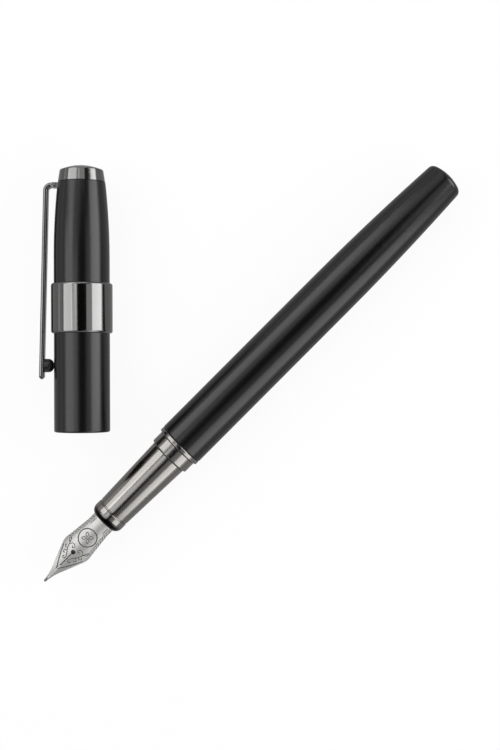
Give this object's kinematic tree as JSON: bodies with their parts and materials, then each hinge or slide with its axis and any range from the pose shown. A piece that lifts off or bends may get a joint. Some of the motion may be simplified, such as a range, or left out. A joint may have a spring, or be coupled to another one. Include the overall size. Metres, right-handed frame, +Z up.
{
  "type": "fountain pen",
  "caption": "Fountain pen with its cap off beside it: black lacquered barrel and cap, dark metal grip, rings and clip, slit steel nib, piston converter inside.",
  "frame": {"origin": "on the table, under the middle of the pen and cap together", "axes": "+X along the pen from its nib to the barrel's end, +Y across the table to the cap's side, +Z up, the way the nib's face looks"},
  "size_m": [0.123, 0.0651, 0.0131],
  "materials": {
    "nib_steel": "polished stainless steel with engraved lines",
    "nib_pellet": "ground hard metal",
    "gunmetal": "polished dark gunmetal plating",
    "black_lacquer": "satin black lacquer on metal",
    "black_plastic": "moulded black plastic",
    "knob_plastic": "moulded black plastic, fluted",
    "piston_plastic": "pale moulded plastic",
    "clear_tube": "clear moulded plastic tube",
    "plated_steel": "nickel plated",
    "brass_insert": "turned brass",
    "seal_rubber": "black rubber",
    "bead_black": "glossy black stud"
  },
  "bodies": {
    "section": {"nib": "nib_steel", "nib_pellet": "nib_pellet", "feed": "black_plastic", "nib_housing": "black_plastic", "lip_ring": "gunmetal", "grip_shell": "gunmetal", "collar_ring": "gunmetal", "section_core": "black_plastic"},
    "flange": {"flange_ring": "gunmetal"},
    "seal": {"thread_seal": "seal_rubber"},
    "barrel": {"barrel_tube": "black_lacquer", "barrel_bush": "brass_insert", "barrel_end_plug": "black_lacquer"},
    "converter": {"converter_mouth": "black_plastic", "converter_reservoir": "clear_tube", "converter_guide": "black_plastic", "converter_sleeve": "plated_steel"},
    "knob": {"converter_knob": "knob_plastic", "converter_spindle": "black_plastic"},
    "piston": {"converter_piston": "piston_plastic", "piston_stem": "black_plastic"},
    "cap": {"cap_tube": "black_lacquer", "cap_band": "gunmetal", "clutch_ring": "plated_steel", "cap_liner": "black_plastic", "clip_spacer": "black_plastic", "clip_ring": "gunmetal", "finial_screw": "plated_steel", "finial": "gunmetal"},
    "clip": {"clip_arm": "gunmetal", "clip_bead": "bead_black"}
  },
  "joints": [
    {"name": "barrel_unscrew", "type": "hinge", "parent": "section", "child": "flange", "pos_m": [-0.0205, -0.02713, 0.00533], "axis": [1, 0, 0], "range_deg": [0, 2160]},
    {"name": "barrel_advance", "type": "slide", "parent": "flange", "child": "seal", "axis": [1, 0, 0], "range_m": [0, 0.0054]},
    {"name": "barrel_pull_off", "type": "slide", "parent": "seal", "child": "barrel", "axis": [1, 0, 0], "range_m": [0, 0.07]},
    {"name": "converter_pull_off", "type": "slide", "parent": "section", "child": "converter", "axis": [1, 0, 0], "range_m": [0, 0.009]},
    {"name": "knob_turn", "type": "hinge", "parent": "converter", "child": "knob", "pos_m": [0.0385, -0.02713, 0.00533], "axis": [1, 0, 0], "range_deg": [0, 2880]},
    {"name": "piston_draw", "type": "slide", "parent": "converter", "child": "piston", "axis": [1, 0, 0], "range_m": [0, 0.026]},
    {"name": "cap_draw_off", "type": "slide", "parent": "section", "child": "cap", "axis": [0.7059, 0.7083, 0], "range_m": [0, 0.04]},
    {"name": "clip_flex", "type": "hinge", "parent": "cap", "child": "clip", "pos_m": [0.00008, 0.03134, 0.00655], "axis": [0, 0, -1], "range_deg": [0, 5], "stiffness_Nm_per_rad": 0.6}
  ],
  "couplings": [
    {"joint": "barrel_unscrew", "follows": "barrel_advance", "rad_per_m": 6981.3},
    {"joint": "knob_turn", "follows": "piston_draw", "rad_per_m": 1933.3}
  ]
}
